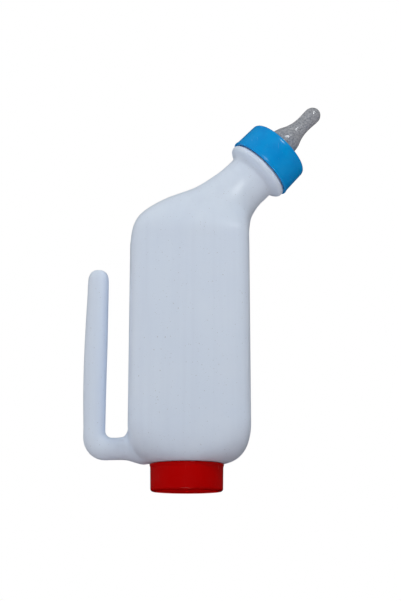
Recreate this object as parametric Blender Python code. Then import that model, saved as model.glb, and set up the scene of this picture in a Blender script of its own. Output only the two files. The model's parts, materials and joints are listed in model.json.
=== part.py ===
"""Calf feeding bottle: a two litre jug body with a slanted neck, a screwed teat collar,
a soft teat and a large screwed cap in the base for cleaning.

The origin is the centre of the base cap's flat underside, +Z is up, +X points from the
handle to the teat, and the bottle stands on its base cap.
"""
import math

import bmesh
import bpy
from mathutils import Matrix, Vector

MM = 0.001
TURN = 2.0 * math.pi
GAP = 0.4 * MM                          # clearance between neighbouring pieces
WALL = 1.9 * MM                         # blow-moulded wall
ROUND_SIDES = 32                        # sides of the body and of the screwed pieces
HANDLE_SIDES = 18
TEAT_SIDES = 24
THREAD_SIDES = 20                       # steps of a screw ridge in one turn

# body: a rounded box, a little off the base cap's axis
BODY_HALF_WIDTH = 52.8 * MM
BODY_HALF_DEPTH = 44.0 * MM
BODY_SQUARENESS = 6.0                   # superellipse exponent, 2 is a round
BODY_OFFSET = 2.3 * MM
BODY_FLOOR = 24.1 * MM                  # underside of the body
BODY_FLOOR_RADIUS = 33.0 * MM
BODY_SIDE_START = 56.0 * MM             # the straight sides run from here
BODY_SIDE_END = 214.0 * MM              # to here

# slanted neck: heights are measured along its axis from the collar's lower rim
NECK_SLANT = math.radians(46.5)         # above the horizontal
NECK_ORIGIN = Vector((66.2, 0.0, 292.8)) * MM
NECK_RADIUS = 23.0 * MM
NECK_START = -18.0 * MM
NECK_END = -11.5 * MM
NECK_BORE = 24.6 * MM
NECK_BORE_START = -4.0 * MM
NECK_ROOT = 27.0 * MM                   # thread root
NECK_LIP = 22.8 * MM
BEAD_RADIUS = 30.4 * MM

# base neck
BASE_ROOT = 28.2 * MM
BASE_BORE = 25.8 * MM
BASE_LIP = 4.4 * MM

LIP_ROUND = 0.7 * MM                    # rounding of both necks' lips
CUT_PAST = 3.0 * MM                     # how far a bore's cutter passes the lip

# open handle: a hollow arm, a corner and a grip with a free end
HANDLE_SQUARENESS = 2.2
HANDLE_CORNER_DEPTH = 10.4 * MM         # half its width along Y
HANDLE_ROUNDNESS = 1.05                 # the grip's depth for its width
HANDLE_OUTER_CORNER = (19.0, 20.2)      # radii in X and Z, in millimetres
HANDLE_INNER_CORNER = (6.0, 6.0)

# screw threads: right hand, both of one pitch
PITCH = 5.0 * MM
THREAD_HEIGHT = 1.2 * MM
THREAD_SINK = 0.3 * MM                  # how deep a ridge is rooted in its wall
THREAD_FOOT = 2.2 * MM
THREAD_CREST = 1.0 * MM
MALE_TURNS = 1.5
FEMALE_TURNS = 1.25
NECK_THREAD_START = 8.0 * MM
BASE_THREAD_START = 8.6 * MM

# teat collar
COLLAR_HEIGHT = 27.5 * MM
COLLAR_RIM_RADIUS = 31.8 * MM
COLLAR_TOP_RADIUS = 30.7 * MM
COLLAR_BORE = 28.6 * MM
COLLAR_PLATE = 2.1 * MM
COLLAR_HOLE = 17.0 * MM
COLLAR_ROUND = 4.2 * MM                 # radius of the rounded top edge

# teat
FLANGE_RADIUS = 27.9 * MM
FLANGE_THICKNESS = 2.0 * MM
TEAT_WALL = 1.9 * MM
TEAT_HOLE = 0.8 * MM
TEAT_TIP_WALL = 2.2 * MM
SEAL_GAP = 0.3 * MM                     # clearance on both sides of the flange and the sealing disc

# base cap and its sealing disc
CAP_HEIGHT = 23.7 * MM
CAP_RIM_RADIUS = 32.2 * MM
CAP_FOOT_RADIUS = 31.4 * MM
CAP_ROUND = 2.0 * MM
CAP_BORE = 29.9 * MM
CAP_PLATE = 2.2 * MM
LINER_RADIUS = 29.2 * MM
LINER_THICKNESS = 1.5 * MM
DISC_CENTRE = 0.5 * MM                  # small middle face that closes a turned disc

NECK_AXIS = Vector((math.cos(NECK_SLANT), 0.0, math.sin(NECK_SLANT)))
NECK_ACROSS = Vector((-math.sin(NECK_SLANT), 0.0, math.cos(NECK_SLANT)))
NECK_FRAME = Matrix.Translation(NECK_ORIGIN) @ Matrix.Rotation(math.pi / 2 - NECK_SLANT, 4, "Y")


def clear_scene():
    """Remove every object of the open file."""
    for item in list(bpy.data.objects):
        bpy.data.objects.remove(item, do_unlink=True)


def material(name, colour, roughness, transmission=0.0):
    """A Principled material with one colour."""
    made = bpy.data.materials.new(name)
    made.use_nodes = True
    shader = made.node_tree.nodes["Principled BSDF"]
    shader.inputs["Base Color"].default_value = (*colour, 1.0)
    shader.inputs["Roughness"].default_value = roughness
    shader.inputs["Metallic"].default_value = 0.0
    shader.inputs["Transmission Weight"].default_value = transmission
    made.diffuse_color = (*colour, 1.0)
    return made


def object_from(name, bm, frame=None):
    """Make an object of a bmesh whose faces are turned outwards."""
    bmesh.ops.recalc_face_normals(bm, faces=bm.faces)
    mesh = bpy.data.meshes.new(name)
    bm.to_mesh(mesh)
    bm.free()
    made = bpy.data.objects.new(name, mesh)
    bpy.context.scene.collection.objects.link(made)
    if frame is not None:
        made.matrix_world = frame
    return made


def boolean(target, tool, operation):
    """Join the tool to the target, or cut it from the target, and remove the tool."""
    modifier = target.modifiers.new(operation, "BOOLEAN")
    modifier.object = tool
    modifier.operation = operation
    modifier.solver = "EXACT"
    bpy.context.view_layer.update()
    graph = bpy.context.evaluated_depsgraph_get()
    mesh = bpy.data.meshes.new_from_object(target.evaluated_get(graph))
    target.modifiers.clear()
    target.data = mesh
    bpy.data.objects.remove(tool, do_unlink=True)


def finish(item, made, sharp_angle=40.0):
    """Give a piece its material and shade its round faces smooth."""
    item.data.materials.clear()
    item.data.materials.append(made)
    item.data.shade_smooth()
    item.data.set_sharp_from_angle(angle=math.radians(sharp_angle))


# ---------------------------------------------------------------- rings and lofts

def ring(low, high, half_depth, squareness, sides):
    """A superellipse between two points of the XZ plane, half_depth wide along Y."""
    centre = (low + high) / 2
    reach = (high - low) / 2
    points = []
    for index in range(sides):
        angle = TURN * index / sides
        across = math.cos(angle)
        deep = math.sin(angle)
        across = math.copysign(abs(across) ** (2 / squareness), across)
        deep = math.copysign(abs(deep) ** (2 / squareness), deep)
        points.append(centre + reach * across + Vector((0.0, half_depth * deep, 0.0)))
    return points


def round_ring(origin, axis, across, height, radius, sides):
    """A circle round an axis in the XZ plane."""
    centre = origin + axis * height
    return ring(centre + across * radius, centre - across * radius, radius, 2.0, sides)


def neck_ring(height, radius):
    """A circle round the slanted neck's axis."""
    return round_ring(NECK_ORIGIN, NECK_AXIS, NECK_ACROSS, height, radius, ROUND_SIDES)


def base_ring(height, radius):
    """A circle round the base neck's axis."""
    up = Vector((0.0, 0.0, 1.0))
    left = Vector((-1.0, 0.0, 0.0))
    return round_ring(Vector(), up, left, height, radius, ROUND_SIDES)


def loft(rings):
    """A closed solid through rings of equal length."""
    bm = bmesh.new()
    rows = [[bm.verts.new(point) for point in points] for points in rings]
    for first, second in zip(rows, rows[1:]):
        for index in range(len(first)):
            after = (index + 1) % len(first)
            bm.faces.new((first[index], first[after], second[after], second[index]))
    bm.faces.new(rows[0][::-1])
    bm.faces.new(rows[-1])
    return bm


def inset_rings(rings, depth):
    """The same rings moved inwards along the loft's surface normals."""
    bm = loft(rings)
    bmesh.ops.recalc_face_normals(bm, faces=bm.faces)
    ends = [face for face in bm.faces if len(face.verts) > 4]
    bmesh.ops.delete(bm, geom=ends, context="FACES_ONLY")
    bm.normal_update()
    bm.verts.ensure_lookup_table()
    moved = [vertex.co - vertex.normal * depth for vertex in bm.verts]
    bm.free()
    count = len(rings[0])
    return [moved[start:start + count] for start in range(0, len(moved), count)]


def bezier(start, first, second, end, at):
    """A point of a cubic curve."""
    rest = 1.0 - at
    return (start * rest ** 3 + first * 3 * rest ** 2 * at
            + second * 3 * rest * at ** 2 + end * at ** 3)


def through(values, at):
    """A smooth curve that passes through equally spaced values, at runs from 0 to 1."""
    place = at * (len(values) - 1)
    index = min(int(place), len(values) - 2)
    part = place - index
    here, after = values[index], values[index + 1]
    before = values[index - 1] if index else here * 2 - after
    beyond = values[index + 2] if index + 2 < len(values) else after * 2 - here
    return (here * 2 + (after - before) * part
            + (before * 2 - here * 5 + after * 4 - beyond) * part ** 2
            + (here * 3 - before - after * 3 + beyond) * part ** 3) / 2


def flat(x, z):
    """A point of the XZ plane, given in millimetres."""
    return Vector((x, 0.0, z)) * MM


# ---------------------------------------------------------------- bottle body

def body_bottom_rings(steps=6):
    """From the round floor up to the straight sides, as one rounded bowl."""
    rings = []
    for step in range(steps + 1):
        at = step / steps
        out = bezier(0.0, 0.60, 1.0, 1.0, at)
        deep = bezier(0.0, 0.62, 1.0, 1.0, at)
        up = bezier(0.0, 0.09, 0.40, 1.0, at)
        half_width = BODY_FLOOR_RADIUS + (BODY_HALF_WIDTH - BODY_FLOOR_RADIUS) * out
        half_depth = BODY_FLOOR_RADIUS + (BODY_HALF_DEPTH - BODY_FLOOR_RADIUS) * deep
        height = BODY_FLOOR + (BODY_SIDE_START - BODY_FLOOR) * up
        squareness = 2.0 + (BODY_SQUARENESS - 2.0) * at ** 1.5
        centre = Vector((BODY_OFFSET * out, 0.0, height))
        reach = Vector((half_width, 0.0, 0.0))
        rings.append(ring(centre - reach, centre + reach, half_depth, squareness, ROUND_SIDES))
    return rings


def shoulder_rings(steps=12):
    """From the straight sides to the slanted neck, the rings fan over like a bend."""
    side_left = (BODY_OFFSET - BODY_HALF_WIDTH) / MM
    side_right = (BODY_OFFSET + BODY_HALF_WIDTH) / MM
    side_end = BODY_SIDE_END / MM
    neck = NECK_ORIGIN + NECK_AXIS * NECK_START
    left = [
        flat(side_left, side_end), flat(side_left + 2.3, side_end + 16.0),
        flat(-41.1, 244.1), flat(-22.1, 258.7), flat(4.9, 271.3), flat(26.4, 286.1),
        neck + NECK_ACROSS * NECK_RADIUS,
    ]
    right = [
        flat(side_right, side_end), flat(side_right, side_end + 12.5),
        flat(56.0, 236.0), flat(57.6, 245.4), flat(61.4, 253.2), flat(66.6, 260.2),
        neck - NECK_ACROSS * NECK_RADIUS,
    ]
    half_depths = [BODY_HALF_DEPTH, BODY_HALF_DEPTH, 40.4 * MM, 34.2 * MM, 28.4 * MM,
                   24.4 * MM, NECK_RADIUS]
    squareness = [BODY_SQUARENESS, 5.4, 3.9, 2.8, 2.25, 2.05, 2.0]
    rings = []
    for step in range(steps + 1):
        at = step / steps
        rings.append(ring(through(left, at), through(right, at), through(half_depths, at),
                          through(squareness, at), ROUND_SIDES))
    return rings


def shell_rings():
    """Every ring of the jug's skin, from the floor to the slanted neck."""
    return body_bottom_rings() + shoulder_rings() + [neck_ring(NECK_END, NECK_RADIUS)]


def bead_and_finish_rings():
    """The support bead under the collar and the plain cylinder that takes the thread."""
    profile = [  # height along the neck, radius
        (-9.2 * MM, 24.3 * MM), (-7.5 * MM, 27.0 * MM), (-5.8 * MM, 29.4 * MM),
        (-3.6 * MM, BEAD_RADIUS), (-2.0 * MM, BEAD_RADIUS),
        (-GAP, BEAD_RADIUS - 1.0 * MM), (-GAP, NECK_ROOT),
        (NECK_LIP - LIP_ROUND, NECK_ROOT), (NECK_LIP, NECK_ROOT - LIP_ROUND),
    ]
    return [neck_ring(height, radius) for height, radius in profile]


def handle_rings():
    """Rings along the arm, round the corner and up the grip to its domed end."""
    outer = [flat(-33.5, 24.0), flat(-43.0, 24.6), flat(-52.0, 27.0), flat(-60.0, 27.3)]
    inner = [flat(-41.0, 55.5), flat(-49.0, 51.8), flat(-54.5, 47.4), flat(-60.5, 46.2)]
    half_depths = [15.0 * MM, 13.6 * MM, 11.8 * MM, 10.6 * MM]
    corner_steps = 4
    for step in range(corner_steps + 1):
        angle = math.pi / 2 * step / corner_steps
        for side, (x, z), (radius_x, radius_z) in (
                (outer, (-71.0, 47.2), HANDLE_OUTER_CORNER),
                (inner, (-65.2, 52.2), HANDLE_INNER_CORNER)):
            side.append(flat(x - radius_x * math.sin(angle), z - radius_z * math.cos(angle)))
        half_depths.append(HANDLE_CORNER_DEPTH)
    grip = [  # height, outer side, inner side
        (90.0, -90.8, -71.0), (130.0, -90.5, -70.6), (165.0, -89.3, -70.5), (183.0, -88.8, -70.5),
        (188.0, -88.5, -70.6), (192.0, -87.5, -71.5), (194.8, -85.5, -73.5), (196.0, -82.7, -76.3),
    ]
    for height, outer_side, inner_side in grip:
        outer.append(flat(outer_side, height))
        inner.append(flat(inner_side, height))
        half_depths.append((inner_side - outer_side) / 2 * HANDLE_ROUNDNESS * MM)
    return [ring(low, high, half_depth, HANDLE_SQUARENESS, HANDLE_SIDES)
            for low, high, half_depth in zip(outer, inner, half_depths)]


def thread(name, wall_radius, outwards, start, turns, frame=None):
    """A right-hand screw ridge on a round wall, outside it or inside it."""
    steps = round(turns * THREAD_SIDES)
    sign = 1.0 if outwards else -1.0
    foot = wall_radius - sign * THREAD_SINK
    crest = wall_radius + sign * THREAD_HEIGHT
    section = [(foot, -THREAD_FOOT / 2), (crest, -THREAD_CREST / 2),
               (crest, THREAD_CREST / 2), (foot, THREAD_FOOT / 2)]
    rings = []
    for step in range(steps + 1):
        angle = TURN * turns * step / steps
        rise = start + PITCH * angle / TURN
        rings.append([Vector((radius * math.cos(angle), radius * math.sin(angle), rise + height))
                      for radius, height in section])
    return object_from(name, loft(rings), frame)


def bottle_body(made):
    """One blow moulding: jug, both threaded necks and the hollow handle."""
    shell = shell_rings()
    base_finish = [base_ring(BASE_LIP, BASE_ROOT - LIP_ROUND),
                   base_ring(BASE_LIP + LIP_ROUND, BASE_ROOT),
                   base_ring(BODY_FLOOR - GAP / 2, BASE_ROOT)]
    body = object_from("bottle_body", loft(base_finish + shell + bead_and_finish_rings()))
    handle = handle_rings()
    boolean(body, object_from("handle_skin", loft(handle)), "UNION")
    hollow = inset_rings(shell, WALL)
    base_bore = [base_ring(BASE_LIP - CUT_PAST, BASE_BORE), base_ring(BODY_FLOOR, BASE_BORE)]
    neck_bore = [neck_ring(NECK_BORE_START, NECK_BORE), neck_ring(NECK_LIP + CUT_PAST, NECK_BORE)]
    boolean(body, object_from("hollow", loft(base_bore + hollow + neck_bore)), "DIFFERENCE")
    boolean(body, object_from("handle_hollow", loft(inset_rings(handle, WALL))), "DIFFERENCE")
    neck_thread = thread("neck_thread", NECK_ROOT, True, NECK_THREAD_START, MALE_TURNS, NECK_FRAME)
    boolean(body, neck_thread, "UNION")
    base_thread = thread("base_thread", BASE_ROOT, True, BASE_THREAD_START, MALE_TURNS)
    boolean(body, base_thread, "UNION")
    finish(body, made)
    return body


# ---------------------------------------------------------------- turned pieces

def lathe(name, profile, sides, frame=None):
    """Turn a closed (radius, height) outline round the local Z axis."""
    bm = bmesh.new()
    columns = []
    for index in range(sides):
        angle = TURN * index / sides
        columns.append([bm.verts.new((radius * math.cos(angle), radius * math.sin(angle), height))
                        for radius, height in profile])
    for index, here in enumerate(columns):
        after = columns[(index + 1) % sides]
        for row in range(len(profile)):
            below = (row + 1) % len(profile)
            bm.faces.new((here[row], after[row], after[below], here[below]))
    return object_from(name, bm, frame)


def disc_lathe(name, profile, sides, frame=None):
    """Turn an open outline whose two ends lie near the axis, and close both ends flat."""
    bm = bmesh.new()
    rows = []
    for radius, height in profile:
        rows.append([bm.verts.new((radius * math.cos(TURN * index / sides),
                                   radius * math.sin(TURN * index / sides), height))
                     for index in range(sides)])
    for first, second in zip(rows, rows[1:]):
        for index in range(sides):
            after = (index + 1) % sides
            bm.faces.new((first[index], first[after], second[after], second[index]))
    bm.faces.new(rows[0][::-1])
    bm.faces.new(rows[-1])
    return object_from(name, bm, frame)


def rounded(radius, height, size, start, end, steps=3):
    """Points of a rounded edge round a centre, from one angle to another in degrees."""
    points = []
    for step in range(steps + 1):
        angle = math.radians(start + (end - start) * step / steps)
        points.append((radius + size * math.cos(angle), height + size * math.sin(angle)))
    return points


def teat_collar(made):
    """The threaded ring that clamps the teat's flange on the neck."""
    top = COLLAR_HEIGHT
    profile = [
        (COLLAR_HOLE, top - COLLAR_PLATE), (COLLAR_BORE, top - COLLAR_PLATE),
        (COLLAR_BORE, 0.0), (COLLAR_RIM_RADIUS, 0.0),
        *rounded(COLLAR_TOP_RADIUS - COLLAR_ROUND, top - COLLAR_ROUND, COLLAR_ROUND, 0.0, 90.0),
        (COLLAR_HOLE, top),
    ]
    collar = lathe("teat_collar", profile, ROUND_SIDES, NECK_FRAME)
    start = NECK_THREAD_START - PITCH / 2
    boolean(collar, thread("collar_thread", COLLAR_BORE, False, start, FEMALE_TURNS, NECK_FRAME),
            "UNION")
    finish(collar, made)
    return collar


def teat(made):
    """A hollow silicone teat: flange, flared base, slim waist, bulb and a hole in the tip."""
    flange_low = NECK_LIP + SEAL_GAP
    flange_high = flange_low + FLANGE_THICKNESS
    outline = [  # radius, height in millimetres from the flange's face to the tip
        (14.6, 27.0), (14.4, 31.0), (13.6, 35.5), (11.7, 41.0), (9.4, 46.5), (7.9, 52.0),
        (7.2, 57.4), (7.2, 63.0), (7.5, 68.5), (7.4, 72.5), (6.4, 76.0), (4.5, 78.3), (2.2, 79.3),
    ]
    outer = [(radius * MM, height * MM) for radius, height in outline]
    inner = [(radius - TEAT_WALL, height) for radius, height in outer[:-3]]
    tip = outer[-1][1]
    profile = [
        (outer[0][0] - TEAT_WALL, flange_low), (FLANGE_RADIUS, flange_low),
        (FLANGE_RADIUS, flange_high), (outer[0][0], flange_high),
        *outer, (TEAT_HOLE, tip), (TEAT_HOLE, tip - TEAT_TIP_WALL),
        (3.6 * MM, tip - 2 * TEAT_TIP_WALL),
        *inner[::-1],
    ]
    made_teat = lathe("teat", profile, TEAT_SIDES, NECK_FRAME)
    finish(made_teat, made, 50.0)
    return made_teat


def base_cap(made):
    """The wide screwed cap that the bottle stands on."""
    profile = [
        (DISC_CENTRE, 0.0),
        *rounded(CAP_FOOT_RADIUS - CAP_ROUND, CAP_ROUND, CAP_ROUND, -90.0, 0.0),
        (CAP_RIM_RADIUS, CAP_HEIGHT), (CAP_BORE, CAP_HEIGHT), (CAP_BORE, CAP_PLATE),
        (DISC_CENTRE, CAP_PLATE),
    ]
    cap = disc_lathe("base_cap", profile, ROUND_SIDES)
    start = BASE_THREAD_START + PITCH / 2
    boolean(cap, thread("cap_thread", CAP_BORE, False, start, FEMALE_TURNS), "UNION")
    finish(cap, made)
    return cap


def base_cap_liner(made):
    """The soft disc that seals the base cap against the base neck's lip."""
    low = CAP_PLATE + SEAL_GAP
    high = low + LINER_THICKNESS
    profile = [(DISC_CENTRE, low), (LINER_RADIUS, low), (LINER_RADIUS, high), (DISC_CENTRE, high)]
    liner = disc_lathe("base_cap_liner", profile, ROUND_SIDES)
    finish(liner, made)
    return liner


def build():
    """Make the five pieces of the bottle."""
    clear_scene()
    bottle_body(material("hdpe_natural", (0.60, 0.66, 0.72), 0.35))
    teat_collar(material("collar_blue", (0.0, 0.22, 0.62), 0.30))
    teat(material("teat_silicone", (0.42, 0.42, 0.44), 0.20, 0.6))
    base_cap(material("base_cap_red", (0.35, 0.0, 0.0), 0.35))
    base_cap_liner(material("liner_white", (0.80, 0.80, 0.78), 0.60))


build()
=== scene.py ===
"""The looks of the calf feeding bottle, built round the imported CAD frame."""
import json
import math

import bmesh
import bpy
from mathutils import Matrix, Vector
from mathutils.bvhtree import BVHTree


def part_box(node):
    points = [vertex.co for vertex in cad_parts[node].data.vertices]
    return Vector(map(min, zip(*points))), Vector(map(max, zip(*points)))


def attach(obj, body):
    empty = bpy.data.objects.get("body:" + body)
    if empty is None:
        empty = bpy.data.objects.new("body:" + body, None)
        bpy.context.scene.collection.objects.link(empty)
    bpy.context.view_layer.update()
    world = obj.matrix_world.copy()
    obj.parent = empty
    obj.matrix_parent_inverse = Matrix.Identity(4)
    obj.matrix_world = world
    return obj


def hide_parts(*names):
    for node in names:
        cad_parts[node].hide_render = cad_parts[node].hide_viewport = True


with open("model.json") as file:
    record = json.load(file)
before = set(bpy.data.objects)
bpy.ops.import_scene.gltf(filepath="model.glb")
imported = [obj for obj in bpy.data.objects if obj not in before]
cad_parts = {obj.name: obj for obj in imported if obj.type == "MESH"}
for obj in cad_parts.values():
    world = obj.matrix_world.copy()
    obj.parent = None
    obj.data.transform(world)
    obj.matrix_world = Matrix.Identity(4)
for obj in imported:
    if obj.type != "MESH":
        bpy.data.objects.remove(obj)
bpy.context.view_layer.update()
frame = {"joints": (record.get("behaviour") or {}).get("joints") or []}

MM = 0.001
TURN = 2.0 * math.pi
JOINTS = {joint["name"]: joint for joint in frame["joints"]}

# the slanted neck's axis and the base cap's size come from the frame
NECK_ORIGIN = Vector(JOINTS["collar_turn"]["pos_m"])
NECK_AXIS = Vector(JOINTS["collar_turn"]["axis"]).normalized()
NECK_ACROSS = Vector((-NECK_AXIS.z, 0.0, NECK_AXIS.x))
NECK_SLANT = math.atan2(NECK_AXIS.z, NECK_AXIS.x)
NECK_FRAME = Matrix.Translation(NECK_ORIGIN) @ Matrix.Rotation(math.pi / 2 - NECK_SLANT, 4, "Y")
CAP_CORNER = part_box("base_cap")[1]
CAP_HEIGHT = CAP_CORNER.z
CAP_RIM_RADIUS = CAP_CORNER.x

# body, in metres
BODY_HALF_WIDTH = 52.8 * MM
BODY_HALF_DEPTH = 44.0 * MM
BODY_SQUARENESS = 6.0
BODY_OFFSET = 2.3 * MM
BODY_FLOOR = 24.1 * MM
BODY_FLOOR_RADIUS = 33.0 * MM
BODY_SIDE_START = 56.0 * MM
BODY_SIDE_END = 214.0 * MM
WALL = 1.9 * MM
NECK_RADIUS = 23.0 * MM
NECK_START = -18.0 * MM
NECK_BORE = 24.6 * MM
NECK_ROOT = 27.0 * MM
NECK_LIP = 22.8 * MM
BASE_ROOT = 28.2 * MM
BASE_BORE = 25.8 * MM
BASE_LIP = 4.4 * MM
LIP_ROUND = 1.0 * MM
FINISH_DEPTH = -6.0 * MM                 # where the neck's threaded wall starts on its axis
FINISH_CENTRE = 0.5 * MM                 # radius of the flat face in the middle of its ends
FINISH_EASE = 0.02 * MM                  # keeps two cylinders of one radius apart

# hook handle; corners, heights and places in X are in millimetres, as flat() takes them
HANDLE_SQUARENESS = 2.15
HANDLE_CORNER_DEPTH = 10.4 * MM          # half its width along Y
HANDLE_ROUNDNESS = 1.05                  # the grip's depth for its width
HANDLE_OUTER_CORNER = (19.0, 20.2)       # radii in X and Z
HANDLE_INNER_CORNER = (6.0, 6.0)
GRIP_LOW = 56.0
GRIP_HIGH = 196.2
GRIP_MIDDLE = -79.5
GRIP_HALF_WIDTH = 9.0
DOME_HEIGHT = 13.0
DOME_SQUARENESS = 3.0

# right-hand threads
PITCH = 5.0 * MM
THREAD_HEIGHT = 1.2 * MM
THREAD_SINK = 0.4 * MM
THREAD_FOOT = 2.2 * MM
THREAD_CREST = 0.9 * MM
THREAD_STEPS = 72                        # a turn
THREAD_FADE = 8                          # steps over which each end runs out
MALE_TURNS = 1.5
FEMALE_TURNS = 1.25
NECK_THREAD_START = 8.0 * MM
BASE_THREAD_START = 8.6 * MM

# teat collar
COLLAR_HEIGHT = 27.5 * MM
COLLAR_RIM_RADIUS = 31.8 * MM
COLLAR_TOP_RADIUS = 30.7 * MM
COLLAR_BORE = 28.6 * MM
COLLAR_PLATE = 2.1 * MM
COLLAR_HOLE = 17.0 * MM
COLLAR_ROUND = 4.2 * MM

CAP_FOOT_RADIUS = 31.4 * MM
CAP_ROUND = 2.4 * MM
CAP_BORE = 29.9 * MM
CAP_PLATE = 2.2 * MM
LINER_RADIUS = 29.2 * MM
LINER_THICKNESS = 1.5 * MM
SEAL_GAP = 0.3 * MM
DISC_CENTRE = 0.4 * MM                   # the same for the cap and its sealing disc

# teat
FLANGE_RADIUS = 27.6 * MM
FLANGE_THICKNESS = 2.0 * MM
TEAT_WALL = 1.9 * MM
TEAT_HOLE = 0.7 * MM
TEAT_INSIDE_TOP = 72.0 * MM              # where the inside starts to close towards the hole
BULB_CENTRE = 70.9 * MM
BULB_RADIUS = 7.6 * MM
BULB_HEIGHT = 8.6 * MM

# the jug's skin
SKIN_SIDES = 160
HANDLE_SIDES = 72
HOLLOW_SIDES = 64
FINISH_SIDES = 96
SKIN_VOXEL = 1.45 * MM
BODY_DEEPEST = 20.0 * MM                 # no point of the skin lies deeper in the body than this
HANDLE_DEEPEST = 11.0 * MM
BLEND_REACH = 6.0 * MM                   # how softly the handle grows out of the body
BLEND_LEAST = 0.02                       # its share beside the base neck, which stays crisp
BLEND_START = 31.0 * MM                  # distances from the base's axis
BLEND_FULL = 40.0 * MM
SEAM_HALF_WIDTH = 0.55 * MM
SEAM_HEIGHT = 0.2 * MM


# ---------------------------------------------------------------- mesh helpers

def object_from(name, bm, transform=None):
    """An object of a bmesh with its faces turned outwards, its place baked into the mesh."""
    bmesh.ops.recalc_face_normals(bm, faces=bm.faces)
    if transform is not None:
        bmesh.ops.transform(bm, matrix=transform, verts=bm.verts)
    mesh = bpy.data.meshes.new(name)
    bm.to_mesh(mesh)
    bm.free()
    made = bpy.data.objects.new(name, mesh)
    bpy.context.scene.collection.objects.link(made)
    return made


def apply_modifiers(item):
    """Put the mesh that the modifiers make in the place of the object's own."""
    bpy.context.view_layer.update()
    graph = bpy.context.evaluated_depsgraph_get()
    mesh = bpy.data.meshes.new_from_object(item.evaluated_get(graph))
    item.modifiers.clear()
    item.data = mesh


def boolean(target, tool, operation):
    """Join or cut closed solids, and remove the tool."""
    modifier = target.modifiers.new(operation, "BOOLEAN")
    modifier.object = tool
    modifier.operation = operation
    modifier.solver = "MANIFOLD"
    apply_modifiers(target)
    bpy.data.objects.remove(tool, do_unlink=True)


def shade(item, angle=35.0):
    item.data.shade_smooth()
    item.data.set_sharp_from_angle(angle=math.radians(angle))


def ring(low, high, half_depth, squareness, sides):
    """A superellipse between two points of the XZ plane, half_depth wide along Y."""
    centre = (low + high) / 2
    reach = (high - low) / 2
    points = []
    for index in range(sides):
        angle = TURN * index / sides
        across = math.cos(angle)
        deep = math.sin(angle)
        across = math.copysign(abs(across) ** (2 / squareness), across)
        deep = math.copysign(abs(deep) ** (2 / squareness), deep)
        points.append(centre + reach * across + Vector((0.0, half_depth * deep, 0.0)))
    return points


def round_ring(origin, axis, across, height, radius, sides):
    centre = origin + axis * height
    return ring(centre + across * radius, centre - across * radius, radius, 2.0, sides)


def neck_ring(height, radius, sides):
    return round_ring(NECK_ORIGIN, NECK_AXIS, NECK_ACROSS, height, radius, sides)


def base_ring(height, radius, sides):
    up = Vector((0.0, 0.0, 1.0))
    left = Vector((-1.0, 0.0, 0.0))
    return round_ring(Vector(), up, left, height, radius, sides)


def loft(rings):
    """A closed solid through rings of equal length."""
    bm = bmesh.new()
    rows = [[bm.verts.new(point) for point in points] for points in rings]
    for first, second in zip(rows, rows[1:]):
        for index in range(len(first)):
            after = (index + 1) % len(first)
            bm.faces.new((first[index], first[after], second[after], second[index]))
    bm.faces.new(rows[0][::-1])
    bm.faces.new(rows[-1])
    return bm


def inset_rings(rings, depth):
    """The same rings moved inwards along the loft's surface normals."""
    bm = loft(rings)
    bmesh.ops.recalc_face_normals(bm, faces=bm.faces)
    ends = [face for face in bm.faces if len(face.verts) > 4]
    bmesh.ops.delete(bm, geom=ends, context="FACES_ONLY")
    bm.normal_update()
    bm.verts.ensure_lookup_table()
    moved = [vertex.co - vertex.normal * depth for vertex in bm.verts]
    bm.free()
    count = len(rings[0])
    return [moved[start:start + count] for start in range(0, len(moved), count)]


def bezier(start, first, second, end, at):
    rest = 1.0 - at
    return (start * rest ** 3 + first * 3 * rest ** 2 * at
            + second * 3 * rest * at ** 2 + end * at ** 3)


def through(values, at):
    """A smooth curve that passes through equally spaced values, at runs from 0 to 1."""
    place = at * (len(values) - 1)
    index = min(int(place), len(values) - 2)
    part = place - index
    here, after = values[index], values[index + 1]
    before = values[index - 1] if index else here * 2 - after
    beyond = values[index + 2] if index + 2 < len(values) else after * 2 - here
    return (here * 2 + (after - before) * part
            + (before * 2 - here * 5 + after * 4 - beyond) * part ** 2
            + (here * 3 - before - after * 3 + beyond) * part ** 3) / 2


def flat(x, z):
    """A point of the XZ plane, given in millimetres."""
    return Vector((x, 0.0, z)) * MM


def lathe(name, profile, sides, transform=None):
    """Turn a closed (radius, height) outline round the local Z axis."""
    bm = bmesh.new()
    columns = []
    for index in range(sides):
        angle = TURN * index / sides
        columns.append([bm.verts.new((radius * math.cos(angle), radius * math.sin(angle), height))
                        for radius, height in profile])
    for index, here in enumerate(columns):
        after = columns[(index + 1) % sides]
        for row in range(len(profile)):
            below = (row + 1) % len(profile)
            bm.faces.new((here[row], after[row], after[below], here[below]))
    return object_from(name, bm, transform)


def solid_lathe(name, profile, sides, transform=None):
    """Turn an open outline whose ends lie near the axis, and close both ends."""
    rings = []
    for radius, height in profile:
        rings.append([Vector((radius * math.cos(TURN * index / sides),
                              radius * math.sin(TURN * index / sides), height))
                      for index in range(sides)])
    return object_from(name, loft(rings), transform)


def arc(radius, height, size, start, end, steps=6):
    """Points of a rounded edge round a centre, from one angle to another in degrees."""
    points = []
    for step in range(steps + 1):
        angle = math.radians(start + (end - start) * step / steps)
        points.append((radius + size * math.cos(angle), height + size * math.sin(angle)))
    return points


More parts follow.
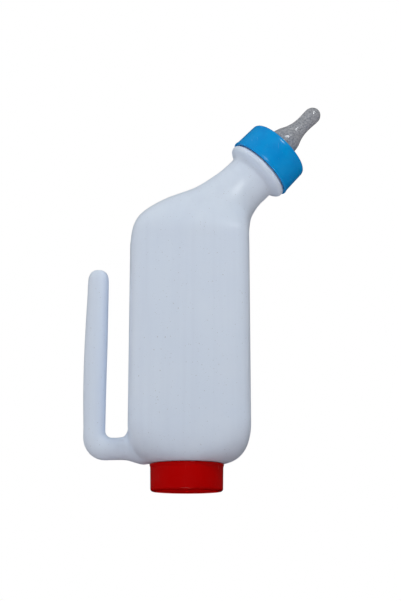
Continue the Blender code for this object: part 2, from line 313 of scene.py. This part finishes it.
def thread(name, wall_radius, outwards, start, turns, transform=None):
    """A right-hand screw ridge whose ends run out into its round wall."""
    steps = round(turns * THREAD_STEPS)
    sign = 1.0 if outwards else -1.0
    foot = wall_radius - sign * THREAD_SINK
    shoulder = THREAD_CREST * 0.72
    rings = []
    for step in range(steps + 1):
        angle = TURN * turns * step / steps
        rise = start + PITCH * angle / TURN
        full = min(1.0, (min(step, steps - step) + 0.5) / THREAD_FADE)
        crest = wall_radius + sign * (THREAD_HEIGHT * full - THREAD_SINK * 0.5 * (1.0 - full))
        soft = foot + (crest - foot) * 0.8
        section = [
            (foot, -THREAD_FOOT / 2), (soft, -shoulder), (crest, -THREAD_CREST / 3),
            (crest, THREAD_CREST / 3), (soft, shoulder), (foot, THREAD_FOOT / 2),
        ]
        rings.append([Vector((radius * math.cos(angle), radius * math.sin(angle), rise + height))
                      for radius, height in section])
    return object_from(name, loft(rings), transform)


# ---------------------------------------------------------------- the jug

def bowl_rings(steps, sides):
    """From the round floor up to the straight sides."""
    rings = []
    for step in range(steps + 1):
        at = step / steps
        out = bezier(0.0, 0.60, 1.0, 1.0, at)
        deep = bezier(0.0, 0.62, 1.0, 1.0, at)
        up = bezier(0.0, 0.09, 0.40, 1.0, at)
        half_width = BODY_FLOOR_RADIUS + (BODY_HALF_WIDTH - BODY_FLOOR_RADIUS) * out
        half_depth = BODY_FLOOR_RADIUS + (BODY_HALF_DEPTH - BODY_FLOOR_RADIUS) * deep
        height = BODY_FLOOR + (BODY_SIDE_START - BODY_FLOOR) * up
        squareness = 2.0 + (BODY_SQUARENESS - 2.0) * at ** 1.5
        centre = Vector((BODY_OFFSET * out, 0.0, height))
        reach = Vector((half_width, 0.0, 0.0))
        rings.append(ring(centre - reach, centre + reach, half_depth, squareness, sides))
    return rings


def shoulder_rings(steps, sides):
    """From the straight sides to the slanted neck, fanning over like a bend."""
    side_left = (BODY_OFFSET - BODY_HALF_WIDTH) / MM
    side_right = (BODY_OFFSET + BODY_HALF_WIDTH) / MM
    side_end = BODY_SIDE_END / MM
    neck = NECK_ORIGIN + NECK_AXIS * NECK_START
    left = [
        flat(side_left, side_end), flat(side_left + 2.3, side_end + 16.0),
        flat(-41.1, 244.1), flat(-22.1, 258.7), flat(4.9, 271.3), flat(26.4, 286.1),
        neck + NECK_ACROSS * NECK_RADIUS,
    ]
    right = [
        flat(side_right, side_end), flat(side_right, side_end + 12.5),
        flat(56.0, 236.0), flat(57.6, 245.4), flat(61.4, 253.2), flat(66.6, 260.2),
        neck - NECK_ACROSS * NECK_RADIUS,
    ]
    half_depths = [BODY_HALF_DEPTH, BODY_HALF_DEPTH, 40.4 * MM, 34.2 * MM, 28.4 * MM,
                   24.4 * MM, NECK_RADIUS]
    squareness = [BODY_SQUARENESS, 5.4, 3.9, 2.8, 2.25, 2.05, 2.0]
    rings = []
    for step in range(steps + 1):
        at = step / steps
        rings.append(ring(through(left, at), through(right, at), through(half_depths, at),
                          through(squareness, at), sides))
    return rings


def bead_rings(sides):
    """The slim neck and the support bead under the collar."""
    profile = [
        (-11.5, 23.0), (-10.2, 23.4), (-9.2, 24.3), (-8.3, 25.4), (-7.5, 26.9), (-6.7, 28.3),
        (-5.8, 29.4), (-4.8, 30.1), (-3.6, 30.4), (-2.2, 30.4), (-1.4, 30.1), (-0.9, 29.4),
    ]
    return [neck_ring(height * MM, radius * MM, sides) for height, radius in profile]


def skin_rings(bowl_steps, shoulder_steps, sides):
    return bowl_rings(bowl_steps, sides) + shoulder_rings(shoulder_steps, sides)


def dome(rest):
    """The share of the grip's width that is left at a height, rest below the grip's top."""
    past = max(0.0, 1.0 - rest / DOME_HEIGHT)
    return (1.0 - past ** DOME_SQUARENESS) ** (1 / DOME_SQUARENESS)


def grip_outline():
    """Middle, half width and height of the grip, from the corner to the domed free end."""
    outer = [-90.0, -90.7, -90.9, -90.6, -89.9, -89.0, -88.5]
    inner = [-71.2, -71.1, -70.9, -70.6, -70.5, -70.45, -70.5]
    steps = 56
    outline = []
    for step in range(steps):
        at = step / steps
        height = GRIP_LOW + (GRIP_HIGH - GRIP_LOW) * at
        left, right = through(outer, at), through(inner, at)
        outline.append(((left + right) / 2, (right - left) / 2 * dome(GRIP_HIGH - height), height))
    for rest in (0.8, 0.4, 0.15, 0.04):
        outline.append((GRIP_MIDDLE, GRIP_HALF_WIDTH * dome(rest), GRIP_HIGH - rest))
    return outline


def handle_rings(sides):
    """The arm, the corner and the grip with its domed free end."""
    arm_outer = [
        flat(-13.0, 37.0), flat(-24.0, 27.6), flat(-34.0, 24.0), flat(-43.0, 24.6),
        flat(-52.0, 27.0), flat(-60.0, 27.3),
    ]
    arm_inner = [
        flat(-15.0, 46.0), flat(-30.0, 54.0), flat(-41.0, 55.5), flat(-49.0, 51.8),
        flat(-54.5, 47.4), flat(-60.5, 46.2),
    ]
    arm_depth = [4.0 * MM, 12.0 * MM, 15.0 * MM, 13.6 * MM, 11.8 * MM, 10.6 * MM]
    arm_steps = 20
    places = [step / arm_steps for step in range(arm_steps + 1)]
    outer = [through(arm_outer, at) for at in places]
    inner = [through(arm_inner, at) for at in places]
    depth = [through(arm_depth, at) for at in places]
    corner_steps = 16
    for step in range(corner_steps + 1):
        angle = math.pi / 2 * step / corner_steps
        for side, (x, z), (radius_x, radius_z) in (
                (outer, (-71.0, 47.2), HANDLE_OUTER_CORNER),
                (inner, (-65.2, 52.2), HANDLE_INNER_CORNER)):
            side.append(flat(x - radius_x * math.sin(angle), z - radius_z * math.cos(angle)))
        depth.append(HANDLE_CORNER_DEPTH)
    for middle, half, height in grip_outline():
        outer.append(flat(middle - half, height))
        inner.append(flat(middle + half, height))
        depth.append(half * HANDLE_ROUNDNESS * MM)
    return [ring(low_point, high_point, half_depth, HANDLE_SQUARENESS, sides)
            for low_point, high_point, half_depth in zip(outer, inner, depth)]


def tree_of(rings):
    """A search tree of a loft, with its faces pointing out."""
    bm = loft(rings)
    bmesh.ops.recalc_face_normals(bm, faces=bm.faces)
    bmesh.ops.triangulate(bm, faces=bm.faces)
    tree = BVHTree.FromBMesh(bm)
    bm.free()
    return tree


def signed_distance(tree, point, deepest):
    """Distance to a closed surface and the way out of it; nothing lies deeper in it than deepest."""
    place, normal, _, distance = tree.find_nearest(point)
    away = point - place
    side = 1.0 if distance > deepest or away.dot(normal) >= 0.0 else -1.0
    direction = away * (side / distance) if distance > 0.05 * MM else normal
    return side * distance, direction


def smooth_step(low, high, value):
    at = min(1.0, max(0.0, (value - low) / (high - low)))
    return at * at * (3.0 - 2.0 * at)


def settle_on_union(mesh, body_tree, handle_tree):
    """Move each vertex onto the body and handle surfaces, melted together where they meet."""
    for vertex in mesh.vertices:
        point = vertex.co.copy()
        for _ in range(3):
            body_distance, body_normal = signed_distance(body_tree, point, BODY_DEEPEST)
            handle_distance, handle_normal = signed_distance(handle_tree, point, HANDLE_DEEPEST)
            axis_distance = math.hypot(point.x, point.y)
            clear = smooth_step(BLEND_START, BLEND_FULL, axis_distance)
            reach = BLEND_REACH * (BLEND_LEAST + (1.0 - BLEND_LEAST) * clear)
            share = min(1.0, max(0.0, 0.5 + 0.5 * (handle_distance - body_distance) / reach))
            distance = (handle_distance * (1 - share) + body_distance * share
                        - reach * share * (1 - share))
            normal = handle_normal * (1 - share) + body_normal * share
            if normal.length > 0.2:
                point -= normal.normalized() * distance
        vertex.co = point


def raise_mould_seam(item):
    """The fine ridge that the two mould halves leave all round the middle plane."""
    bm = bmesh.new()
    bm.from_mesh(item.data)
    for offset in (-SEAM_HALF_WIDTH, 0.0, SEAM_HALF_WIDTH):
        bmesh.ops.bisect_plane(bm, geom=bm.verts[:] + bm.edges[:] + bm.faces[:],
                               plane_co=(0.0, offset, 0.0), plane_no=(0.0, 1.0, 0.0), dist=1e-5)
    bm.normal_update()
    lifts = []
    for vertex in bm.verts:
        full = 1.0 - abs(vertex.co.y) / SEAM_HALF_WIDTH
        if full > 0.0:
            lifts.append((vertex, vertex.normal * SEAM_HEIGHT * full))
    for vertex, lift in lifts:
        vertex.co += lift
    bm.to_mesh(item.data)
    bm.free()


def bottle_skin():
    """The jug and its handle as one melted skin."""
    base_profile = [(14.0, 0.0), (22.6, 0.0), (23.5, 0.4), (24.0, 1.3)]
    base = [base_ring(height * MM, BASE_ROOT + flare * MM, SKIN_SIDES)
            for height, flare in base_profile]
    body = base + skin_rings(28, 72, SKIN_SIDES) + bead_rings(SKIN_SIDES)
    handle = handle_rings(HANDLE_SIDES)
    skin = object_from("bottle_skin", loft(body))
    boolean(skin, object_from("grip_skin", loft(handle)), "UNION")
    remesh = skin.modifiers.new("remesh", "REMESH")
    remesh.mode = "VOXEL"
    remesh.voxel_size = SKIN_VOXEL
    apply_modifiers(skin)
    settle_on_union(skin.data, tree_of(body), tree_of(handle))
    raise_mould_seam(skin)
    return skin


def neck_finish():
    """The round wall that carries the collar's thread."""
    centre = NECK_ROOT - LIP_ROUND
    profile = [
        (FINISH_CENTRE, FINISH_DEPTH), (NECK_ROOT, FINISH_DEPTH), (NECK_ROOT, NECK_LIP - LIP_ROUND),
        *arc(centre, NECK_LIP - LIP_ROUND, LIP_ROUND, 15.0, 90.0, 4),
        (FINISH_CENTRE, NECK_LIP),
    ]
    return solid_lathe("neck_finish", profile, FINISH_SIDES, NECK_FRAME)


def base_finish():
    """The round wall that carries the base cap's thread."""
    low = BASE_LIP + LIP_ROUND
    high = BODY_FLOOR + 1.0 * MM
    profile = [
        (FINISH_CENTRE, BASE_LIP), *arc(BASE_ROOT - LIP_ROUND, low, LIP_ROUND, -90.0, -15.0, 4),
        (BASE_ROOT + FINISH_EASE, low), (BASE_ROOT + FINISH_EASE, high), (FINISH_CENTRE, high),
    ]
    return solid_lathe("base_finish", profile, FINISH_SIDES)


def milk_chamber():
    """What the jug holds, from the open base to the open neck."""
    past = 2.0 * MM
    sides = HOLLOW_SIDES
    base = [base_ring(BASE_LIP - past, BASE_BORE, sides), base_ring(BODY_FLOOR, BASE_BORE, sides)]
    neck = [
        neck_ring(-11.0 * MM, NECK_RADIUS - WALL, sides), neck_ring(-4.0 * MM, NECK_BORE, sides),
        neck_ring(NECK_LIP + past, NECK_BORE, sides),
    ]
    return object_from("hollow", loft(base + inset_rings(skin_rings(10, 24, sides), WALL) + neck))


def grip_hollow():
    """The inside of the handle, which opens into the jug."""
    return object_from("grip_hollow", loft(inset_rings(handle_rings(32)[:-3], WALL)))


def bottle():
    skin = bottle_skin()
    boolean(skin, neck_finish(), "UNION")
    boolean(skin, base_finish(), "UNION")
    threads = (
        ("neck_thread", NECK_ROOT, NECK_THREAD_START, NECK_FRAME),
        ("base_thread", BASE_ROOT, BASE_THREAD_START, None),
    )
    for name, radius, start, transform in threads:
        boolean(skin, thread(name, radius, True, start, MALE_TURNS, transform), "UNION")
    boolean(skin, milk_chamber(), "DIFFERENCE")
    boolean(skin, grip_hollow(), "DIFFERENCE")
    skin.name = "bottle_jug"
    shade(skin, 38.0)
    return skin


# ---------------------------------------------------------------- screwed pieces

def teat_collar():
    top = COLLAR_HEIGHT
    profile = [
        (COLLAR_HOLE + 0.3 * MM, top - COLLAR_PLATE), (COLLAR_BORE, top - COLLAR_PLATE),
        (COLLAR_BORE, 0.6 * MM), (COLLAR_BORE + 0.5 * MM, 0.0),
        *arc(COLLAR_RIM_RADIUS - 0.45 * MM, 0.5 * MM, 0.5 * MM, -80.0, 10.0, 5),
        (COLLAR_RIM_RADIUS, 1.5 * MM), (COLLAR_RIM_RADIUS - 0.12 * MM, 1.8 * MM),
        (COLLAR_RIM_RADIUS - 0.45 * MM, 2.25 * MM), (COLLAR_RIM_RADIUS - 0.5 * MM, 2.7 * MM),
        *arc(COLLAR_TOP_RADIUS - COLLAR_ROUND, top - COLLAR_ROUND, COLLAR_ROUND, 0.0, 90.0, 12),
        (COLLAR_HOLE + 2.4 * MM, top), (COLLAR_HOLE + 1.8 * MM, top - 0.15 * MM),
        *arc(COLLAR_HOLE + 0.9 * MM, top - 0.9 * MM, 0.9 * MM, 80.0, 180.0, 6),
    ]
    collar = lathe("collar_ring", profile, 160, NECK_FRAME)
    start = NECK_THREAD_START - PITCH / 2
    boolean(collar, thread("collar_thread", COLLAR_BORE, False, start, FEMALE_TURNS, NECK_FRAME),
            "UNION")
    shade(collar)
    return collar


def teat_lean(at):
    """How far to one side the teat's middle lies, from its flange (0) to its tip (1)."""
    foot = 0.7 * (1.0 - smooth_step(0.0, 0.35, at))
    bow = -2.2 + 4.3 * at - 2.1 * at ** 2 - foot
    return bow * MM * smooth_step(0.0, 0.07, at)


def teat_outer():
    """The outline from the flared foot over the waist to the bulb's tip."""
    outline = [
        (13.9, 27.0), (13.7, 31.0), (13.1, 35.5), (11.7, 41.0), (9.4, 46.5), (7.9, 52.0),
        (7.2, 57.4), (7.2, 63.0), (7.5, 68.5),
    ]
    radii = [radius * MM for radius, _ in outline]
    heights = [height * MM for _, height in outline]
    steps = 48
    outer = [(through(radii, step / steps), through(heights, step / steps))
             for step in range(steps + 1)]
    bulb_steps = 14
    for step in range(1, bulb_steps + 1):
        angle = math.radians(4.0 + 80.0 * step / bulb_steps)
        outer.append((BULB_RADIUS * math.cos(angle), BULB_CENTRE + BULB_HEIGHT * math.sin(angle)))
    return outer


def teat():
    """A hollow teat that leans a little in its seat, as a soft one does."""
    flange_low = NECK_LIP + SEAL_GAP
    flange_high = flange_low + FLANGE_THICKNESS
    outer = teat_outer()
    inner = [(radius - TEAT_WALL, height) for radius, height in outer
             if height < TEAT_INSIDE_TOP]
    foot = outer[0][0]
    tip = outer[-1][1]
    profile = [
        (foot - TEAT_WALL, flange_low), (FLANGE_RADIUS, flange_low),
        *arc(FLANGE_RADIUS - 0.3 * MM, (flange_low + flange_high) / 2, 0.6 * MM, -60.0, 60.0, 4),
        (FLANGE_RADIUS - 0.6 * MM, flange_high), (foot + 0.6 * MM, flange_high),
        (foot + 0.1 * MM, flange_high + 0.4 * MM),
        *outer, (TEAT_HOLE, tip), (TEAT_HOLE, tip - 2.2 * MM), (2.6 * MM, tip - 3.0 * MM),
        (4.6 * MM, tip - 4.6 * MM),
        *inner[::-1],
    ]
    made = lathe("teat_nipple", profile, 96)
    for vertex in made.data.vertices:
        at = (vertex.co.z - flange_high) / (tip - flange_high)
        if at > 0.0:
            vertex.co.x += teat_lean(at)
    made.data.transform(NECK_FRAME)
    shade(made, 50.0)
    return made


def base_cap():
    profile = [
        (DISC_CENTRE, 0.35 * MM), (1.3 * MM, 0.3 * MM), (1.6 * MM, 0.0), (25.0 * MM, 0.0),
        (25.3 * MM, 0.25 * MM), (26.1 * MM, 0.25 * MM), (26.4 * MM, 0.0),
        *arc(CAP_FOOT_RADIUS - CAP_ROUND, CAP_ROUND, CAP_ROUND, -90.0, 0.0, 9),
        (CAP_FOOT_RADIUS + 0.25 * MM, CAP_HEIGHT - 4.0 * MM),
        (CAP_FOOT_RADIUS + 0.35 * MM, CAP_HEIGHT - 2.6 * MM),
        (CAP_RIM_RADIUS - 0.12 * MM, CAP_HEIGHT - 1.8 * MM),
        *arc(CAP_RIM_RADIUS - 0.6 * MM, CAP_HEIGHT - 0.6 * MM, 0.6 * MM, 0.0, 90.0, 5),
        (CAP_BORE + 0.5 * MM, CAP_HEIGHT), (CAP_BORE, CAP_HEIGHT - 0.6 * MM),
        (CAP_BORE, CAP_PLATE + 0.6 * MM), (CAP_BORE - 0.6 * MM, CAP_PLATE),
        (DISC_CENTRE, CAP_PLATE),
    ]
    cap = solid_lathe("base_screw_cap", profile, 160)
    start = BASE_THREAD_START + PITCH / 2
    boolean(cap, thread("cap_thread", CAP_BORE, False, start, FEMALE_TURNS), "UNION")
    shade(cap)
    return cap


def base_cap_liner():
    low = CAP_PLATE + SEAL_GAP
    high = low + LINER_THICKNESS
    profile = [
        (DISC_CENTRE, low), (LINER_RADIUS - 0.3 * MM, low), (LINER_RADIUS, low + 0.3 * MM),
        (LINER_RADIUS, high - 0.3 * MM), (LINER_RADIUS - 0.3 * MM, high),
        (28.4 * MM, high), (28.1 * MM, high - 0.15 * MM), (26.2 * MM, high - 0.15 * MM),
        (25.9 * MM, high), (DISC_CENTRE, high),
    ]
    liner = solid_lathe("sealing_disc", profile, 128)
    shade(liner, 30.0)
    return liner


# ---------------------------------------------------------------- materials

COLLAR_BLUE = (0.0, 0.32, 0.76)
COLLAR_BLUE_WORN = (0.0, 0.24, 0.68)
COLLAR_SHINE = 0.65
CAP_RED = (0.51, 0.0, 0.0)
CAP_RED_WORN = (0.54, 0.0, 0.0)
CAP_SHINE = 0.14
NOISE_RANGE = (0.3, 0.7)                 # where nearly all of a noise's values lie


class Graph:
    """Short steps for building a node tree."""

    def __init__(self, tree):
        self.tree = tree

    def node(self, kind, **settings):
        made = self.tree.nodes.new(kind)
        for key, value in settings.items():
            setattr(made, key, value)
        return made

    def link(self, source, target):
        self.tree.links.new(source, target)

    def span(self, source, start, end, smooth=False):
        """Carry the range start onto the range end."""
        made = self.node("ShaderNodeMapRange")
        made.interpolation_type = "SMOOTHSTEP" if smooth else "LINEAR"
        for key, value in zip(("From Min", "From Max", "To Min", "To Max"), (*start, *end)):
            made.inputs[key].default_value = value
        self.link(source, made.inputs["Value"])
        return made.outputs["Result"]

    def math(self, operation, first, second):
        made = self.node("ShaderNodeMath", operation=operation)
        self.link(first, made.inputs[0])
        self.link(second, made.inputs[1])
        return made.outputs["Value"]


class Shader(Graph):
    """A material built round its principled shader."""

    def __init__(self, name):
        self.material = bpy.data.materials.new(name)
        self.material.use_nodes = True
        super().__init__(self.material.node_tree)
        self.principled = self.tree.nodes["Principled BSDF"]
        self.place = self.node("ShaderNodeTexCoord").outputs["Object"]

    def set(self, **values):
        for key, value in values.items():
            self.principled.inputs[key.replace("_", " ")].default_value = value

    def to(self, source, name):
        self.link(source, self.principled.inputs[name])

    def scaled(self, factors):
        mapping = self.node("ShaderNodeMapping")
        mapping.inputs["Scale"].default_value = factors
        self.link(self.place, mapping.inputs["Vector"])
        return mapping.outputs["Vector"]

    def noise(self, scale, detail, roughness=0.5, vector=None):
        made = self.node("ShaderNodeTexNoise")
        made.inputs["Scale"].default_value = scale
        made.inputs["Detail"].default_value = detail
        made.inputs["Roughness"].default_value = roughness
        self.link(vector or self.place, made.inputs["Vector"])
        return made.outputs["Fac"]

    def uneven(self, scale, detail, low, high):
        """A noise spread over the values from low to high."""
        return self.span(self.noise(scale, detail), NOISE_RANGE, (low, high))

    def mix(self, factor, first, second):
        made = self.node("ShaderNodeMix", data_type="RGBA")
        for index, value in ((6, first), (7, second)):
            if isinstance(value, tuple):
                made.inputs[index].default_value = (*value, 1.0)
            else:
                self.link(value, made.inputs[index])
        self.link(factor, made.inputs[0])
        return made.outputs[2]

    def bump(self, height, strength, distance, under=None):
        made = self.node("ShaderNodeBump")
        made.inputs["Strength"].default_value = strength
        made.inputs["Distance"].default_value = distance
        self.link(height, made.inputs["Height"])
        if under is not None:
            self.link(under, made.inputs["Normal"])
        return made.outputs["Normal"]


def hdpe_material():
    """Milky natural polyethylene: cloudy, with faint upright flow streaks and a satin skin."""
    made = Shader("hdpe_natural_milky")
    clouds = made.uneven(22.0, 4.0, 0.0, 1.0)
    streaks = made.noise(1.0, 3.0, 0.55, made.scaled((160.0, 160.0, 4.0)))
    specks = made.noise(900.0, 0.0)
    tint = made.mix(clouds, (0.70, 0.80, 0.965), (0.73, 0.825, 0.975))
    tint = made.mix(made.span(streaks, (0.45, 0.75), (0.0, 0.45)), tint, (0.67, 0.76, 0.92))
    tint = made.mix(made.span(specks, (0.80, 0.84), (0.0, 0.5), True), tint, (0.35, 0.38, 0.42))
    made.to(tint, "Base Color")
    made.to(made.uneven(60.0, 4.0, 0.31, 0.38), "Roughness")
    peel = made.bump(made.noise(420.0, 2.0), 0.10, 0.6 * MM)
    made.to(made.bump(made.noise(30.0, 2.0), 0.12, 4.0 * MM, peel), "Normal")
    made.set(IOR=1.5, Subsurface_Weight=0.35, Subsurface_Scale=6.0 * MM,
             Subsurface_Radius=(1.0, 1.0, 1.0))
    return made.material


def moulded_material(name, colour, worn, shine):
    """Glossy injection-moulded plastic with fine scuffs and a slightly uneven skin."""
    made = Shader(name)
    patches = made.span(made.noise(70.0, 4.0, 0.6), (0.4, 0.75), (0.0, 0.5), True)
    made.to(made.mix(patches, colour, worn), "Base Color")
    scratches = made.noise(1.0, 2.0, 0.5, made.scaled((900.0, 900.0, 60.0)))
    scratches = made.span(scratches, (0.6, 0.75), (0.0, 0.10), True)
    made.to(made.math("ADD", made.uneven(110.0, 4.0, 0.15, 0.23), scratches), "Roughness")
    made.to(made.bump(made.noise(500.0, 2.0), 0.08, 0.5 * MM), "Normal")
    made.set(IOR=1.49, Specular_IOR_Level=shine)
    return made.material


def silicone_material():
    """Clear silicone with a fine grain and a rippled, wet-looking skin."""
    made = Shader("teat_silicone_clear")
    grain = made.uneven(620.0, 2.0, 0.0, 1.0)
    made.to(made.mix(grain, (0.34, 0.355, 0.39), (0.66, 0.675, 0.71)), "Base Color")
    made.to(made.uneven(60.0, 2.0, 0.08, 0.14), "Roughness")
    made.to(made.bump(made.noise(180.0, 2.0), 0.6, 1.2 * MM), "Normal")
    made.set(IOR=1.41, Transmission_Weight=0.35)
    return made.material


def liner_material():
    """White foamed sealing disc with fine pores."""
    made = Shader("liner_white_foam")
    pores = made.node("ShaderNodeTexVoronoi")
    pores.inputs["Scale"].default_value = 1400.0
    made.link(made.place, pores.inputs["Vector"])
    clouds = made.uneven(80.0, 3.0, 0.0, 1.0)
    made.to(made.mix(clouds, (0.80, 0.79, 0.76), (0.86, 0.86, 0.84)), "Base Color")
    made.to(made.uneven(150.0, 3.0, 0.55, 0.7), "Roughness")
    made.to(made.bump(pores.outputs["Distance"], 0.25, 0.3 * MM), "Normal")
    return made.material


def dress(item, material, body, node):
    item.data.materials.clear()
    item.data.materials.append(material)
    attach(item, body)
    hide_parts(node)


# ---------------------------------------------------------------- stage, light, camera

FLOOR_COLOUR = (0.66, 0.63, 0.64)
FLOOR_DROP = 0.4 * MM                    # below the cap's foot, so that the two faces don't fight
FLOOR_SIDES = 96
FLOOR_OPENING = CAP_FOOT_RADIUS - 2.6 * MM
FLOOR_RADII = (FLOOR_OPENING, 0.06, 0.2, 0.8, 4.0)
SWEEP_TOWARDS = (-0.22, 0.5, 0.55)       # where the white sweep is, above and behind
SWEEP_EDGE = (-0.3, 0.6)                 # how its light fades into the room's
ROOM_LIGHT = 0.08
SWEEP_LIGHT = 1.0
GLOSSY_SHARE = 0.03                      # how much of it shows in glossy surfaces
HORIZON = (-0.03, 0.0)
MIDDLE = (0.01, 0.0, 0.19)               # of the bottle
CAMERA_PLACE = (0.0068, -1.0, -0.0594)
CAMERA_PITCH = 12.86
CAMERA_TURN = -0.29
CAMERA_LENS = 68.75


def floor_material():
    """Pale from above and clear from below, where the camera is."""
    made = Shader("pale_floor")
    made.set(Base_Color=(*FLOOR_COLOUR, 1.0), Roughness=0.8)
    clear = made.node("ShaderNodeBsdfTransparent")
    side = made.node("ShaderNodeNewGeometry")
    mix = made.node("ShaderNodeMixShader")
    made.link(side.outputs["Backfacing"], mix.inputs[0])
    made.link(made.principled.outputs["BSDF"], mix.inputs[1])
    made.link(clear.outputs["BSDF"], mix.inputs[2])
    made.link(mix.outputs["Shader"], made.tree.nodes["Material Output"].inputs["Surface"])
    return made.material


def floor():
    """A pale disc, open under the cap's flat foot, where nothing from above can see it."""
    bm = bmesh.new()
    rings = []
    for radius in FLOOR_RADII:
        rings.append([bm.verts.new(point) for point in base_ring(0.0, radius, FLOOR_SIDES)])
    for first, second in zip(rings, rings[1:]):
        for index in range(FLOOR_SIDES):
            after = (index + 1) % FLOOR_SIDES
            bm.faces.new((first[index], first[after], second[after], second[index]))
    made = object_from("studio_floor", bm)
    if made.data.polygons[0].normal.z < 0:
        made.data.flip_normals()
    made.data.materials.append(floor_material())
    made.location.z = -FLOOR_DROP
    made.visible_glossy = False


def area_light(name, place, aim, size, energy, colour=(1.0, 1.0, 1.0), mirrored=True):
    """A square soft box; one that isn't mirrored lights the object but doesn't show in its gloss."""
    data = bpy.data.lights.new(name, "AREA")
    data.shape = "SQUARE"
    data.size = size
    data.energy = energy
    data.color = colour
    made = bpy.data.objects.new(name, data)
    bpy.context.scene.collection.objects.link(made)
    made.location = place
    made.rotation_euler = (Vector(aim) - Vector(place)).to_track_quat("-Z", "Y").to_euler()
    made.visible_glossy = mirrored


def world_light():
    """White behind the object; its light comes from above and behind, and the room is darker."""
    world = bpy.data.worlds.new("studio_white")
    bpy.context.scene.world = world
    world.use_nodes = True
    made = Graph(world.node_tree)
    background = made.tree.nodes["Background"]
    background.inputs["Color"].default_value = (1.0, 1.0, 1.0, 1.0)
    direction = made.node("ShaderNodeTexCoord").outputs["Generated"]
    towards = made.node("ShaderNodeVectorMath", operation="DOT_PRODUCT")
    towards.inputs[1].default_value = SWEEP_TOWARDS
    made.link(direction, towards.inputs[0])
    split = made.node("ShaderNodeSeparateXYZ")
    made.link(direction, split.inputs["Vector"])
    path = made.node("ShaderNodeLightPath")
    sweep = made.span(towards.outputs["Value"], SWEEP_EDGE, (ROOM_LIGHT, SWEEP_LIGHT), True)
    above = made.math("MULTIPLY", sweep, made.span(split.outputs["Z"], HORIZON, (0.0, 1.0)))
    glossy = made.span(path.outputs["Is Glossy Ray"], (0.0, 1.0), (1.0, GLOSSY_SHARE))
    lamp = made.math("MULTIPLY", above, glossy)
    strength = made.node("ShaderNodeMix")
    strength.inputs[3].default_value = 1.0
    made.link(path.outputs["Is Camera Ray"], strength.inputs[0])
    made.link(lamp, strength.inputs[2])
    made.link(strength.outputs[0], background.inputs["Strength"])


def studio():
    world_light()
    area_light("key", (0.60, -0.87, 0.90), MIDDLE, 0.24, 3.0, (0.97, 1.0, 1.0))
    area_light("front_fill", (-0.30, -1.5, 0.72), MIDDLE, 1.2, 6.5, (0.95, 0.99, 1.0), False)
    area_light("low_fill", (-0.05, -1.1, 0.06), (-0.02, 0.0, 0.05), 0.08, 0.7,
               (1.0, 0.93, 0.96), False)
    area_light("under_fill", (0.0, -0.35, -0.35), (0.0, 0.0, 0.0), 0.2, 3.0)
    bpy.context.scene.view_settings.view_transform = "Standard"
    bpy.context.scene.view_settings.look = "None"


def camera():
    data = bpy.data.cameras.new("view")
    data.sensor_fit = "VERTICAL"
    data.sensor_height = 36.0
    data.lens = CAMERA_LENS
    data.clip_start = 0.01
    made = bpy.data.objects.new("view", data)
    bpy.context.scene.collection.objects.link(made)
    made.location = CAMERA_PLACE
    made.rotation_euler = (math.radians(90.0 + CAMERA_PITCH), 0.0, math.radians(CAMERA_TURN))
    bpy.context.scene.camera = made


camera()
studio()
floor()
dress(bottle(), hdpe_material(), "bottle", "bottle_body")
dress(teat_collar(), moulded_material("collar_blue_gloss", COLLAR_BLUE, COLLAR_BLUE_WORN, COLLAR_SHINE),
      "collar", "teat_collar")
dress(teat(), silicone_material(), "teat", "teat")
dress(base_cap(), moulded_material("base_cap_red_gloss", CAP_RED, CAP_RED_WORN, CAP_SHINE),
      "base_cap", "base_cap")
dress(base_cap_liner(), liner_material(), "base_liner", "base_cap_liner")
